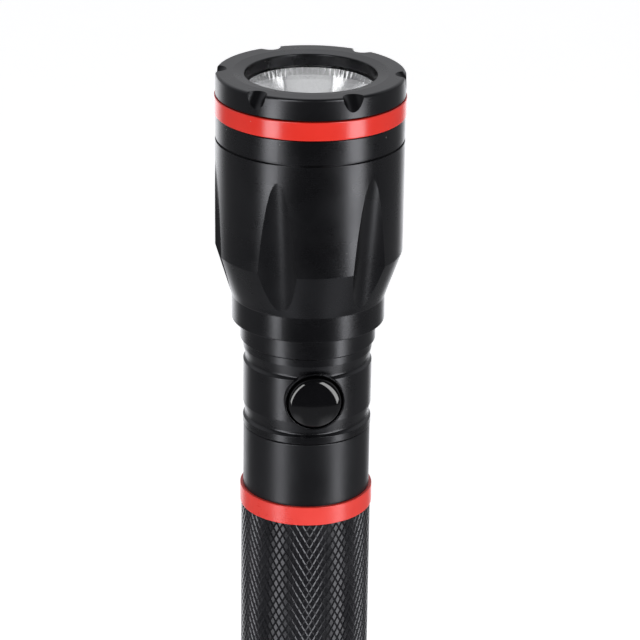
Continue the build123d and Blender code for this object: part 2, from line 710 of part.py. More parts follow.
with BuildPart() as handle_accent_ring:
    ring = [
        (SLEEVE_R + 0.02, GRIP_Z),
        (HANDLE_RING_R, GRIP_Z),
        (HANDLE_RING_R, RING_Z),
        (SLEEVE_R + 0.02, RING_Z),
    ]
    revolve(outline(ring), axis=Axis.Z)
    chamfer(handle_accent_ring.edges().filter_by(GeomType.CIRCLE).group_by(SortBy.RADIUS)[-1], 0.2)
save(handle_accent_ring.part, "handle_accent_ring")

# ---------------------------------------------------------------- tail
CAP_BORE_R = 11.55
CAP_FLOOR_Z = 6.00
CAP_SPIGOT_Z = CAP_SOCKET_Z - 1.00
CAP_SEAL_Z = CAP_Z + 1.60
CAP_GROOVE_Z = 7.60
CAP_GROOVE = 0.60  # depth and half width of the V groove
CAP_GAP = 0.05  # joint between the cap's shoulder and the handle tube
PLATE_THICK = 1.00
LANYARD_Y = 10.90
LANYARD_Z = 3.00
LANYARD_R = 1.60

with BuildPart() as tail_cap:
    cap_outline = [
        (0, 0),
        (TAIL_R, 0),
        (GRIP_R, GRIP_R - TAIL_R),
        (GRIP_R, CAP_GROOVE_Z - CAP_GROOVE),
        (GRIP_R - CAP_GROOVE, CAP_GROOVE_Z),
        (GRIP_R, CAP_GROOVE_Z + CAP_GROOVE),
        (GRIP_R, CAP_Z - CAP_GAP - TUBE_CHAMFER),
        (GRIP_R - TUBE_CHAMFER, CAP_Z - CAP_GAP),
        (CAP_THREAD_R, CAP_Z - CAP_GAP),
    ]
    cap_outline += seal_groove(CAP_THREAD_R, CAP_SEAL_Z, SMALL_SECTION)
    cap_thread_foot = CAP_SEAL_Z + SMALL_SECTION + SEAL_LAND
    cap_outline += thread(CAP_THREAD_R, cap_thread_foot, CAP_SPIGOT_Z - SPIGOT_CHAMFER)
    cap_outline += [
        (CAP_THREAD_R - SPIGOT_CHAMFER, CAP_SPIGOT_Z),
        (CAP_BORE_R, CAP_SPIGOT_Z),
        (CAP_BORE_R, CAP_FLOOR_Z),
        (0, CAP_FLOOR_Z),
    ]
    revolve(outline(cap_outline), axis=Axis.Z)
    with BuildSketch(Plane.YZ.offset(-GRIP_R)):
        with Locations((LANYARD_Y, LANYARD_Z)):
            Circle(LANYARD_R)
    extrude(amount=2 * GRIP_R, mode=Mode.SUBTRACT)
save(tail_cap.part, "tail_cap")

tail_cap_seal = seal(CAP_THREAD_R, CAP_SEAL_Z, SMALL_SECTION)
save(tail_cap_seal, "tail_cap_seal")

with BuildPart() as tail_contact_plate:
    with BuildSketch(Plane.XY.offset(CAP_FLOOR_Z)):
        Circle(CAP_BORE_R - 0.1)
    extrude(amount=PLATE_THICK)
save(tail_contact_plate.part, "tail_contact_plate")

TAIL_WIRE = 0.60
TAIL_TURNS = 6
TAIL_SPRING_R = 9.50
TAIL_SPRING_CONE = 20.0

with BuildPart() as tail_spring:
    spring_foot = CAP_FLOOR_Z + PLATE_THICK + TAIL_WIRE
    spring_length = CELL_BOTTOM_Z - TAIL_WIRE - spring_foot
    with BuildLine() as coil:
        Helix(
            pitch=spring_length / TAIL_TURNS,
            height=spring_length,
            radius=TAIL_SPRING_R,
            center=(0, 0, spring_foot),
            cone_angle=-TAIL_SPRING_CONE,
        )
    with BuildSketch(Plane(origin=coil.line @ 0, z_dir=coil.line % 0)):
        Circle(TAIL_WIRE - 0.02)
    sweep(path=coil.line)
save(tail_spring.part, "tail_spring")
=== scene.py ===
from math import acos, atan, atan2, cos, pi, radians, sin, sqrt, tan

import bmesh
import bpy
from mathutils import Matrix, Vector


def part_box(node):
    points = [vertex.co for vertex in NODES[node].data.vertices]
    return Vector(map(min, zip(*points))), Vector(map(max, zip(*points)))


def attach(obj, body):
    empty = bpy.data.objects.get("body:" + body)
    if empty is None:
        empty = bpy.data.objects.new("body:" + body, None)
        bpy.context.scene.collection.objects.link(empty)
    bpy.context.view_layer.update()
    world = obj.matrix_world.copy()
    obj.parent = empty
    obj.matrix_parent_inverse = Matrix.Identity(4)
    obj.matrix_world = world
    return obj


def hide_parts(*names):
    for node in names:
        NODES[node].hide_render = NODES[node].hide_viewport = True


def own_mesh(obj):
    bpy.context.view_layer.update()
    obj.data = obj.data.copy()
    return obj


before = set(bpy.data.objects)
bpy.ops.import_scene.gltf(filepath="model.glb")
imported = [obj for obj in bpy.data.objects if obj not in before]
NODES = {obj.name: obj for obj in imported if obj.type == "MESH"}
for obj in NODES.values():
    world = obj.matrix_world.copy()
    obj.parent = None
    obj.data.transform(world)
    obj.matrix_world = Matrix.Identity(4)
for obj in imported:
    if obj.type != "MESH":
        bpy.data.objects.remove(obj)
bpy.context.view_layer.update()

# A hand torch standing on its tail.  Lengths in this file are millimetres until a mesh or a
# light is made, then metres.  Heights and outer radii come from the frame's boxes; the rest are
# the torch's own sizes.  Angles are degrees, counted from the button's side towards +X.
#
# A corner of a turned outline is (radius, height, fillet).

MM = 0.001


def low(node):
    """Height of a CAD node's lowest point."""
    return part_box(node)[0].z / MM


def high(node):
    """Height of a CAD node's highest point."""
    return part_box(node)[1].z / MM


def radius(node):
    """Outer radius of a CAD node that is round about the torch's axis."""
    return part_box(node)[1].x / MM


RIM_Z = high("bezel_ring")
BEZEL_Z = high("head_accent_ring")
HEAD_Z = low("head_accent_ring")
NECK_Z = low("head_housing")
SLEEVE_Z = high("handle_tube")
RING_Z = high("handle_accent_ring")
GRIP_Z = low("handle_accent_ring")
CAP_Z = low("handle_tube")
BUTTON_Z = (low("button_cap") + high("button_cap")) / 2
BUTTON_FRONT = -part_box("button_cap")[0].y / MM

BEZEL_R = radius("bezel_ring")
HEAD_R = radius("head_housing")
NECK_R = radius("switch_housing")
GRIP_R = radius("handle_tube")

REPEATS = 6  # scallops round the bezel, and flutes round the head
SCALLOP_ANGLE = 19.3
FLUTE_ANGLE = 33.6
THREAD_PITCH = 1.25
THREAD_DEPTH = 0.45
THREAD_GAP = 0.15  # between a male thread and its bore
THREAD_FILLET = 0.06
SPIGOT_CHAMFER = 0.40  # LANDS are the plain lengths below and above a spigot's thread
SEAL_SQUEEZE = 0.10  # how much shallower a groove is than its O-ring is thick
PARTING = 0.10  # half of the fine gap that shows between two pieces

SEGMENTS = 240
SMALL_SEGMENTS = 128
CUTTER_SEGMENTS = 96
SHARP_ANGLE = 32.0
FILLET_STEPS = 4
FILLET_SHARE = 0.42  # the most of a side that a fillet may take
FILLET_GUARD = 0.02  # share of a side from a fillet to the point that guards its flat shading


# ------------------------------------------------------------------ mesh helpers
def new_object(name, bm, sharp_angle=SHARP_ANGLE):
    """Object from a bmesh in millimetres, smooth apart from edges sharper than an angle."""
    bmesh.ops.recalc_face_normals(bm, faces=bm.faces)
    mesh = bpy.data.meshes.new(name)
    bm.to_mesh(mesh)
    bm.free()
    mesh.transform(Matrix.Scale(MM, 4))
    mesh.shade_smooth()
    mesh.set_sharp_from_angle(angle=radians(sharp_angle))
    piece = bpy.data.objects.new(name, mesh)
    bpy.context.scene.collection.objects.link(piece)
    return piece


def rounded(corners):
    """Closed outline through corners, with a short curve at each fillet.

    A point just outside each curve keeps the shading of the straight part beside it flat.
    """
    outline = []
    for i, (r, z, fillet) in enumerate(corners):
        corner = Vector((r, z))
        if not fillet:
            outline.append(corner)
            continue
        before = Vector(corners[i - 1][:2]) - corner
        after = Vector(corners[(i + 1) % len(corners)][:2]) - corner
        run = fillet / tan(before.angle(after) / 2)
        run = min(run, FILLET_SHARE * before.length, FILLET_SHARE * after.length)
        start = corner + before.normalized() * run
        end = corner + after.normalized() * run
        outline.append(start + before * FILLET_GUARD)
        for step in range(FILLET_STEPS + 1):
            t = step / FILLET_STEPS
            outline.append((1 - t) ** 2 * start + 2 * t * (1 - t) * corner + t**2 * end)
        outline.append(end + after * FILLET_GUARD)
    return outline


def revolve(bm, outline, segments=SEGMENTS, closed=True):
    """Faces of an outline of (radius, height) points turned round the Z axis."""
    rings = []
    for r, z in outline:
        count = segments if r > 1e-6 else 1
        turn = [2 * pi * i / segments for i in range(count)]
        rings.append([bm.verts.new((r * cos(a), r * sin(a), z)) for a in turn])
    following = rings[1:] + rings[:1] if closed else rings[1:]
    for ring, other in zip(rings, following):
        for i in range(segments):
            j = (i + 1) % segments
            corners = [ring[i % len(ring)], ring[j % len(ring)]]
            corners += [other[j % len(other)], other[i % len(other)]]
            face = list(dict.fromkeys(corners))
            if len(face) > 2:
                bm.faces.new(face)


def turned(name, corners, segments=SEGMENTS):
    """Object turned round the Z axis from the corners of its closed outline."""
    bm = bmesh.new()
    revolve(bm, rounded(corners), segments)
    return new_object(name, bm)


def thread(crest, low_z, high_z, lands):
    """Corners up a male screw thread, with a plain land left below and above it."""
    start = low_z + lands[0]
    turns = int((high_z - lands[1] - start) / THREAD_PITCH)
    corners = []
    for turn in range(turns):
        foot = start + turn * THREAD_PITCH
        corners.append((crest, foot, THREAD_FILLET))
        corners.append((crest - THREAD_DEPTH, foot + THREAD_PITCH / 2, THREAD_FILLET))
    corners.append((crest, start + turns * THREAD_PITCH, 0))
    return corners


def seal_groove(crest, seal):
    """Corners up a groove that holds an O-ring, which is a CAD node."""
    root = crest - (high(seal) - low(seal)) + SEAL_SQUEEZE
    return [(crest, low(seal), 0), (root, low(seal), 0), (root, high(seal), 0),
            (crest, high(seal), 0)]


def rod(name, start, direction, length, rod_radius, segments=CUTTER_SEGMENTS):
    """Round bar used as a cutter, from a start point along a direction."""
    bm = bmesh.new()
    outline = [(0, 0), (rod_radius, 0), (rod_radius, length), (0, length)]
    revolve(bm, outline, segments, closed=False)
    turn = Vector((0, 0, 1)).rotation_difference(direction).to_matrix().to_4x4()
    bmesh.ops.transform(bm, matrix=Matrix.Translation(start) @ turn, verts=bm.verts)
    return new_object(name, bm)


def cut(piece, cutters):
    """Takes the cutters out of a piece and removes them."""
    for cutter in cutters:
        boolean = piece.modifiers.new(cutter.name, "BOOLEAN")
        boolean.object = cutter
        boolean.solver = "EXACT"
    graph = bpy.context.evaluated_depsgraph_get()
    mesh = bpy.data.meshes.new_from_object(piece.evaluated_get(graph))
    piece.modifiers.clear()
    piece.data = mesh
    mesh.shade_smooth()
    mesh.set_sharp_from_angle(angle=radians(SHARP_ANGLE))
    for cutter in cutters:
        bpy.data.objects.remove(cutter)


def outward(angle):
    """Horizontal unit vector at an angle from the button's side towards +X."""
    return Vector((sin(radians(angle)), -cos(radians(angle)), 0))


# ------------------------------------------------------------------ node helpers
class Nodes:
    """Short ways to fill the node tree of a material or of the world."""

    def __init__(self, tree):
        self.tree = tree

    def node(self, kind, **values):
        made = self.tree.nodes.new(kind)
        for key, value in values.items():
            setattr(made, key, value)
        return made

    def link(self, source, target):
        self.tree.links.new(source, target)

    def math(self, operation, a, b=0.0, c=0.0):
        """Result of a Math node whose operands are numbers or other results."""
        made = self.node("ShaderNodeMath", operation=operation)
        for socket, value in zip(made.inputs, (a, b, c)):
            if isinstance(value, (int, float)):
                socket.default_value = value
            else:
                self.link(value, socket)
        return made.outputs[0]

    def ramp(self, source, low_in, high_in, low_out=0.0, high_out=1.0, kind="LINEAR"):
        """A value carried from one range to another, and held at the new range's ends."""
        made = self.node("ShaderNodeMapRange", interpolation_type=kind)
        self.link(source, made.inputs["Value"])
        values = {"From Min": low_in, "From Max": high_in, "To Min": low_out, "To Max": high_out}
        for socket, value in values.items():
            made.inputs[socket].default_value = value
        return made.outputs["Result"]

    def split(self, vector):
        """The X, Y and Z outputs of a vector."""
        made = self.node("ShaderNodeSeparateXYZ")
        self.link(vector, made.inputs[0])
        return made.outputs


class Look(Nodes):
    """Material with a Principled surface and short ways to add detail, in object space."""

    def __init__(self, name, **sockets):
        self.material = bpy.data.materials.new(name)
        self.material.use_nodes = True
        super().__init__(self.material.node_tree)
        self.shader = self.tree.nodes["Principled BSDF"]
        for socket, value in sockets.items():
            self.shader.inputs[socket.replace("_", " ")].default_value = value
        self.place = self.node("ShaderNodeTexCoord").outputs["Object"]

    def off_axis(self):
        """Distance from the torch's axis, in metres."""
        x, y, _ = self.split(self.place)
        return self.math("SQRT", self.math("ADD", self.math("MULTIPLY", x, x),
                                           self.math("MULTIPLY", y, y)))

    def noise(self, scale, detail=3.0, rough=0.6, stretch=None):
        """Cloudy value of about 0.5, with a given number of clouds to the metre."""
        made = self.node("ShaderNodeTexNoise")
        made.inputs["Scale"].default_value = scale
        made.inputs["Detail"].default_value = detail
        made.inputs["Roughness"].default_value = rough
        place = self.place
        if stretch:
            mapping = self.node("ShaderNodeMapping")
            mapping.inputs["Scale"].default_value = stretch
            self.link(place, mapping.inputs["Vector"])
            place = mapping.outputs["Vector"]
        self.link(place, made.inputs["Vector"])
        return made.outputs["Fac"]

    def lathe_lines(self, per_metre):
        """Fine rings left by turning: they change with height and with distance from the axis."""
        made = self.node("ShaderNodeTexNoise", noise_dimensions="1D")
        made.inputs["Scale"].default_value = per_metre
        made.inputs["Detail"].default_value = 4.0
        height = self.split(self.place)["Z"]
        self.link(self.math("ADD", height, self.off_axis()), made.inputs["W"])
        return made.outputs["Fac"]

    def specks(self, scale, size, share):
        """Sparse ragged dots of dust: 1 on a dot and 0 elsewhere.  Size is in cells."""
        cells = self.node("ShaderNodeTexVoronoi")
        cells.inputs["Scale"].default_value = scale
        self.link(self.place, cells.inputs["Vector"])
        ragged = self.math("MULTIPLY", self.noise(scale * 6), 2 * size)
        near = self.math("LESS_THAN", cells.outputs["Distance"], ragged)
        split = self.node("ShaderNodeSeparateColor")
        self.link(cells.outputs["Color"], split.inputs[0])
        chosen = self.math("LESS_THAN", split.outputs[0], share)
        return self.math("MULTIPLY", near, chosen)

    def mix(self, factor, colour_a, colour_b):
        """Colour between two colours, which are (r, g, b) or other results."""
        made = self.node("ShaderNodeMix", data_type="RGBA")
        if isinstance(factor, (int, float)):
            made.inputs[0].default_value = factor
        else:
            self.link(factor, made.inputs[0])
        for socket, value in ((made.inputs[6], colour_a), (made.inputs[7], colour_b)):
            if isinstance(value, tuple):
                socket.default_value = (*value, 1.0)
            else:
                self.link(value, socket)
        return made.outputs[2]

    def colour(self, source):
        self.link(source, self.shader.inputs["Base Color"])

    def roughness(self, source):
        self.link(source, self.shader.inputs["Roughness"])

    def bump(self, height, distance):
        """Fine relief of a height in metres, on top of any that is there already."""
        made = self.node("ShaderNodeBump")
        made.inputs["Distance"].default_value = distance
        self.link(height, made.inputs["Height"])
        if self.shader.inputs["Normal"].links:
            self.link(self.shader.inputs["Normal"].links[0].from_socket, made.inputs["Normal"])
        self.link(made.outputs["Normal"], self.shader.inputs["Normal"])


# ------------------------------------------------------------------ materials
COOL_SHEEN = (0.93, 0.94, 1.0, 1.0)
DUST = (0.30, 0.29, 0.28)
DUST_COVER = 0.5
LATHE_SHARE = 0.12  # how much of the gloss's unevenness is lathe rings; the rest is cloudy
PHOSPHOR_R = 2.2


def anodised(name, dark, pale, low_rough, high_rough):
    """Anodised aluminium: faint lathe rings, a slightly uneven dye and a little dust."""
    look = Look(name, IOR=1.5, Specular_Tint=COOL_SHEEN)
    lines = look.lathe_lines(5200.0)
    cloud = look.noise(90.0, detail=4.0)
    dot = look.specks(700.0, size=0.08, share=0.02)
    dyed = look.mix(look.ramp(cloud, 0.35, 0.7), dark, pale)
    look.colour(look.mix(look.math("MULTIPLY", dot, DUST_COVER), dyed, DUST))
    streak = look.math("MULTIPLY_ADD", lines, LATHE_SHARE,
                       look.math("MULTIPLY", cloud, 1 - LATHE_SHARE))
    look.roughness(look.ramp(streak, 0.35, 0.65, low_rough, high_rough))
    look.bump(lines, 0.25e-6)
    look.bump(look.noise(9000.0, detail=2.0), 0.5e-6)
    return look.material


def plain(name, colour, rough, grain=2500.0, depth=4e-6, **sockets):
    """Moulded, rubber or plated surface: a fine grain and an uneven tone."""
    look = Look(name, **sockets)
    tone = look.noise(grain * 0.08, detail=3.0)
    darker = tuple(c * 0.82 for c in colour)
    look.colour(look.mix(tone, darker, colour))
    look.roughness(look.ramp(look.noise(grain * 0.3), 0.3, 0.7, rough * 0.85, rough * 1.15))
    look.bump(look.noise(grain), depth)
    return look.material


def clear_glass():
    """Colourless glass with a trace of haze."""
    look = Look("clear_glass", Transmission_Weight=1.0, IOR=1.5)
    look.colour(look.mix(look.noise(40.0), (0.985, 0.995, 0.99), (1.0, 1.0, 1.0)))
    look.roughness(look.ramp(look.noise(300.0), 0.3, 0.7, 0.0, 0.012))
    return look.material


def mirror_bowl():
    """Vacuum-metallised plastic: bright and a trace uneven."""
    look = Look("mirror_bowl", Metallic=0.9)
    look.colour(look.mix(look.noise(60.0), (0.88, 0.88, 0.90), (0.94, 0.94, 0.95)))
    look.roughness(look.ramp(look.noise(500.0), 0.3, 0.7, 0.12, 0.16))
    look.bump(look.noise(120.0, detail=1.0), 2e-6)
    return look.material


def shiny_button():
    """High-gloss moulded black plastic with a few fine scuffs."""
    look = Look("shiny_button", IOR=1.52)
    look.colour(look.mix(look.noise(200.0), (0.0025, 0.0025, 0.0030), (0.0045, 0.0045, 0.0052)))
    scuff = look.noise(700.0, detail=5.0, rough=0.7, stretch=(1.0, 1.0, 0.15))
    look.roughness(look.ramp(scuff, 0.55, 0.75, 0.06, 0.16))
    look.bump(look.noise(350.0, detail=1.0), 8e-6)
    return look.material


def turned_metal(name, colour, rough):
    """Bare turned metal with lathe rings."""
    look = Look(name, Metallic=1.0)
    lines = look.lathe_lines(4200.0)
    look.colour(look.mix(lines, tuple(c * 0.8 for c in colour), colour))
    look.roughness(look.ramp(lines, 0.3, 0.7, rough * 0.7, rough * 1.3))
    look.bump(lines, 4e-6)
    return look.material


def circuit_board():
    """Green solder mask with faint copper tracks under it."""
    look = Look("circuit_board", Coat_Weight=0.4)
    tracks = look.node("ShaderNodeTexVoronoi", feature="DISTANCE_TO_EDGE")
    tracks.inputs["Scale"].default_value = 420.0
    look.link(look.place, tracks.inputs["Vector"])
    gap = look.math("LESS_THAN", tracks.outputs["Distance"], 0.06)
    look.colour(look.mix(gap, (0.02, 0.16, 0.07), (0.01, 0.08, 0.035)))
    look.roughness(look.ramp(look.noise(900.0), 0.3, 0.7, 0.3, 0.45))
    look.bump(tracks.outputs["Distance"], 2e-5)
    return look.material


def phosphor():
    """LED package: yellow phosphor in the middle, white ceramic round it."""
    look = Look("phosphor", Coat_Weight=0.6)
    inner = look.math("LESS_THAN", look.off_axis(), PHOSPHOR_R * MM)
    look.colour(look.mix(inner, (0.8, 0.8, 0.78), (0.78, 0.62, 0.08)))
    look.roughness(look.ramp(look.noise(2500.0), 0.3, 0.7, 0.25, 0.4))
    look.bump(look.noise(3000.0), 4e-6)
    return look.material


BLACK = anodised("black_anodised", (0.0014, 0.0014, 0.0018), (0.0024, 0.0024, 0.0030), 0.25, 0.31)
SLEEVE_BLACK = anodised("sleeve_black", (0.0018, 0.0018, 0.0024), (0.0030, 0.0030, 0.0038),
                        0.34, 0.40)
KNURL_BLACK = anodised("knurl_black", (0.0050, 0.0050, 0.0062), (0.0075, 0.0075, 0.0090),
                       0.20, 0.27)
HEAD_RED = anodised("head_red", (0.55, 0.021, 0.012), (0.59, 0.025, 0.015), 0.19, 0.23)
GRIP_RED = anodised("grip_red", (0.60, 0.030, 0.020), (0.64, 0.038, 0.026), 0.26, 0.33)
GLASS = clear_glass()
MIRROR = mirror_bowl()
BUTTON = shiny_button()
PHOSPHOR = phosphor()
BOARD = circuit_board()
RUBBER = plain("seal_rubber", (0.02, 0.02, 0.02), 0.55)
SILICONE = plain("silicone", (0.05, 0.05, 0.05), 0.45)
BLACK_PLASTIC = plain("black_plastic", (0.03, 0.03, 0.033), 0.45)
WHITE_PLASTIC = plain("white_plastic", (0.75, 0.75, 0.72), 0.4)
WHITE_MASK = plain("white_solder_mask", (0.8, 0.8, 0.78), 0.35, Coat_Weight=0.3)
WIRE = plain("wire_jacket", (0.5, 0.03, 0.03), 0.4)
SLEEVE = plain("cell_sleeve", (0.05, 0.25, 0.12), 0.3, Coat_Weight=0.5)
STEEL = turned_metal("plated_steel", (0.72, 0.72, 0.73), 0.22)
ALUMINIUM = turned_metal("turned_aluminium", (0.80, 0.81, 0.82), 0.28)
BRASS = turned_metal("turned_brass", (0.80, 0.60, 0.28), 0.24)


def dress(piece, material, body, slot_name, *nodes):
    """Gives a piece its look, puts it under its body's empty and hides the CAD nodes it stands in
    for.
    """
    piece.data.materials.clear()
    piece.data.materials.append(material)
    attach(piece, body)
    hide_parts(*nodes)
    return piece


# ------------------------------------------------------------------ bezel
GLASS_RISE = 0.70  # the glass and the reflector's edge stand this much above the CAD ones
GLASS_Z = high("lens") + GLASS_RISE
FRONT_BORE_R = radius("lens_seal") + 0.2
MOUTH_R = 16.60
THROAT_R = 14.10
THROAT_DROP = 0.38
LIP_R = 14.00
LIP_HEIGHT = 0.30
BEZEL_THREAD_R = 18.60
BEZEL_LANDS = (0.65, 0.80)
SCALLOP_R = 2.55
SCALLOP_DEPTH = 2.40
SCALLOP_TILT = 36.0
SCALLOP_LEAD = 4.0  # how far above the rim the cutter starts
SCALLOP_RUN = 14.0


def make_bezel():
    """Crown with a dished mouth, six scallops, and the threaded spigot under it."""
    foot = low("bezel_ring")
    corners = [
        (FRONT_BORE_R, foot, 0.1),
        (BEZEL_THREAD_R - SPIGOT_CHAMFER, foot, 0.1),
        (BEZEL_THREAD_R, foot + SPIGOT_CHAMFER, 0),
    ]
    corners += seal_groove(BEZEL_THREAD_R, "bezel_seal")
    corners += thread(BEZEL_THREAD_R, high("bezel_seal"), HEAD_Z, BEZEL_LANDS)
    corners += [
        (BEZEL_THREAD_R, BEZEL_Z + PARTING, 0),
        (BEZEL_R, BEZEL_Z + PARTING, 0.15),
        (BEZEL_R, RIM_Z, 0.62),
        (MOUTH_R, RIM_Z, 0.9),
        (THROAT_R, RIM_Z - THROAT_DROP, 0.35),
        (LIP_R, GLASS_Z + LIP_HEIGHT, 0.10),
        (LIP_R, GLASS_Z, 0.05),
        (FRONT_BORE_R, GLASS_Z, 0),
    ]
    piece = turned("bezel", corners)
    tilt = radians(SCALLOP_TILT)
    cutters = []
    for step in range(REPEATS):
        side = outward(SCALLOP_ANGLE + step * 360 / REPEATS)
        floor_point = side * (BEZEL_R - SCALLOP_DEPTH) + Vector((0, 0, RIM_Z))
        down = side * sin(tilt) - Vector((0, 0, cos(tilt)))
        away = side * cos(tilt) + Vector((0, 0, sin(tilt)))
        start = floor_point + away * SCALLOP_R - down * SCALLOP_LEAD
        cutters.append(rod(f"scallop_{step}", start, down, SCALLOP_RUN, SCALLOP_R))
    cut(piece, cutters)
    return dress(piece, BLACK, "bezel", "black_aluminium", "bezel_ring")


# ------------------------------------------------------------------ head
HEAD_FRONT_R = HEAD_R - 0.05
HEAD_GROOVE_Z = RIM_Z - 14.42
HEAD_GROOVE_HALF = 0.26
HEAD_GROOVE_DEPTH = 0.55
CONE_Z = RIM_Z - 39.35
COLLAR_Z = RIM_Z - 49.75
COLLAR_R = 16.65
HEAD_BORE_R = 13.00
PILL_LEDGE_Z = RIM_Z - 33.80
PILL_R = 16.25
BEZEL_SOCKET_Z = low("bezel_ring") - 0.5
FLUTE_TIP_Z = RIM_Z - 18.70
FLUTE_END_Z = RIM_Z - 48.50
FLUTE_R = 6.60  # of the round cutter that leans inwards and runs out at the tip
FLUTE_TRIM = 0.01
FLUTE_ROWS = 90
FLUTE_COLUMNS = 16
LAND_COLUMNS = 24  # across the skin between two flutes
FLUTE_SHARP_ANGLE = 9.0
TAPER = (HEAD_R - COLLAR_R) / (CONE_Z - COLLAR_Z)
FLUTE_SLOPE = TAPER * (CONE_Z - FLUTE_END_Z) / (FLUTE_TIP_Z - FLUTE_END_Z)


def head_radius(z):
    """Radius of the head's skin where no flute cuts it."""
    return HEAD_R - max(0.0, CONE_Z - z) * TAPER


def flute_axis(z):
    """Distance of the flute cutter's axis from the torch's axis at a height."""
    lean = atan(FLUTE_SLOPE)
    return HEAD_R - FLUTE_SLOPE * (FLUTE_TIP_Z - z) + FLUTE_R / cos(lean)


def flute_half_angle(z):
    """Half the angle that a flute takes up, where the cutter's surface meets the skin."""
    squash = cos(atan(FLUTE_SLOPE)) ** 2
    skin, axis = head_radius(z), flute_axis(z)
    a = skin**2 * (squash - 1)
    b = -2 * squash * axis * skin
    c = squash * axis**2 + skin**2 - FLUTE_R**2
    cosine = (-b - sqrt(b * b - 4 * a * c)) / (2 * a)
    return acos(min(1.0, cosine))


def flute_radius(z, angle):
    """Distance of the flute's floor from the torch's axis, at an angle off its middle."""
    squash = cos(atan(FLUTE_SLOPE)) ** 2
    axis = flute_axis(z)
    a = squash * cos(angle) ** 2 + sin(angle) ** 2
    b = -2 * squash * axis * cos(angle)
    c = squash * axis**2 - FLUTE_R**2
    return (-b - sqrt(max(0.0, b * b - 4 * a * c))) / (2 * a)


def head_ring(bm, z, half, land_r, flute_r=None):
    """Ring of vertices with columns that follow flutes of a half angle.

    The land between two flutes has one radius.  Across a flute the radius is a function of the
    angle off its middle, or the land's where none is given.
    """
    sector = 2 * pi / REPEATS
    across = [half * (2 * step / FLUTE_COLUMNS - 1) for step in range(FLUTE_COLUMNS)]
    land = [half + (sector - 2 * half) * step / LAND_COLUMNS for step in range(LAND_COLUMNS)]
    row = [(angle, flute_r(angle) if flute_r else land_r) for angle in across]
    row += [(angle, land_r) for angle in land]
    ring = []
    for repeat in range(REPEATS):
        middle = radians(FLUTE_ANGLE) - pi / 2 + repeat * sector
        ring += [bm.verts.new((r * cos(middle + a), r * sin(middle + a), z)) for a, r in row]
    return ring


def fluted_ring(bm, z):
    """Ring of vertices once round the head at a height that the flutes cross."""
    skin = head_radius(z)
    return head_ring(bm, z, flute_half_angle(z), skin,
                     lambda angle: min(flute_radius(z, angle), skin))


def make_head():
    """Wide head with six flutes; its rings run down the outside and up the bore."""
    bm = bmesh.new()
    first, last = FLUTE_TIP_Z - FLUTE_TRIM, FLUTE_END_Z + FLUTE_TRIM
    share = [0.5 - 0.5 * cos(pi * i / FLUTE_ROWS) for i in range(FLUTE_ROWS + 1)]
    heights = sorted([first + (last - first) * t for t in share] + [CONE_Z], reverse=True)
    floor = HEAD_R - HEAD_GROOVE_DEPTH
    above = rounded([
        (BEZEL_THREAD_R + THREAD_GAP, HEAD_Z - PARTING, 0),
        (HEAD_FRONT_R, HEAD_Z - PARTING, 0.15),
        (HEAD_FRONT_R, HEAD_GROOVE_Z + HEAD_GROOVE_HALF, 0.06),
        (floor, HEAD_GROOVE_Z + HEAD_GROOVE_HALF, 0),
        (floor, HEAD_GROOVE_Z - HEAD_GROOVE_HALF, 0),
        (HEAD_R, HEAD_GROOVE_Z - HEAD_GROOVE_HALF, 0.06),
        (HEAD_R, FLUTE_TIP_Z + 0.1, 0),
        (BEZEL_THREAD_R, FLUTE_TIP_Z, 0),
    ])[:-1]
    # Like the last corner above, the first one here only gives its neighbour's fillet a side.
    below = rounded([
        (HEAD_R, COLLAR_Z + 5, 0),
        (COLLAR_R, COLLAR_Z, 0.2),
        (COLLAR_R, NECK_Z, 0.15),
        (HEAD_BORE_R, NECK_Z, 0.05),
        (HEAD_BORE_R, PILL_LEDGE_Z, 0),
        (PILL_R, PILL_LEDGE_Z, 0),
        (PILL_R, BEZEL_SOCKET_Z, 0),
        (BEZEL_THREAD_R + THREAD_GAP, BEZEL_SOCKET_Z, 0),
    ])[1:]
    rings = [head_ring(bm, z, flute_half_angle(first), r) for r, z in above]
    rings += [fluted_ring(bm, z) for z in heights]
    rings += [head_ring(bm, z, flute_half_angle(last), r) for r, z in below]
    for ring, other in zip(rings, rings[1:] + rings[:1]):
        for i, corner in enumerate(ring):
            j = (i + 1) % len(ring)
            bm.faces.new((corner, ring[j], other[j], other[i]))
    piece = new_object("head", bm, sharp_angle=FLUTE_SHARP_ANGLE)
    return dress(piece, BLACK, "torch", "black_aluminium", "head_housing")


# ------------------------------------------------------------------ neck and button
NECK_STEP_Z = RIM_Z - 59.90
UPPER_GROOVE_Z = RIM_Z - 64.55
LOWER_GROOVE_Z = RIM_Z - 77.85
BAND_R = 14.10
GROOVE_DEPTH = 0.66
UPPER_GROOVE_FLANK = 2.60  # height of the long flank above the root
LOWER_GROOVE_FLANK = 2.90
SHORT_FLANK = 0.62
UNDERCUT = 0.35
NECK_THREAD_R = 12.85
NECK_LANDS = (0.55, 0.40)
SLEEVE_THREAD_R = 12.60
SLEEVE_LANDS = (0.60, 0.35)
NECK_BORE_R = 11.00
NECK_LIP = 0.60


def v_groove(root_z, flank):
    """Corners up a V groove: a short lower flank, a soft root and a long upper flank."""
    return [
        (BAND_R, root_z - SHORT_FLANK, 0.10),
        (BAND_R - GROOVE_DEPTH, root_z, 0.65),
        (BAND_R, root_z + flank, 0.10),
    ]


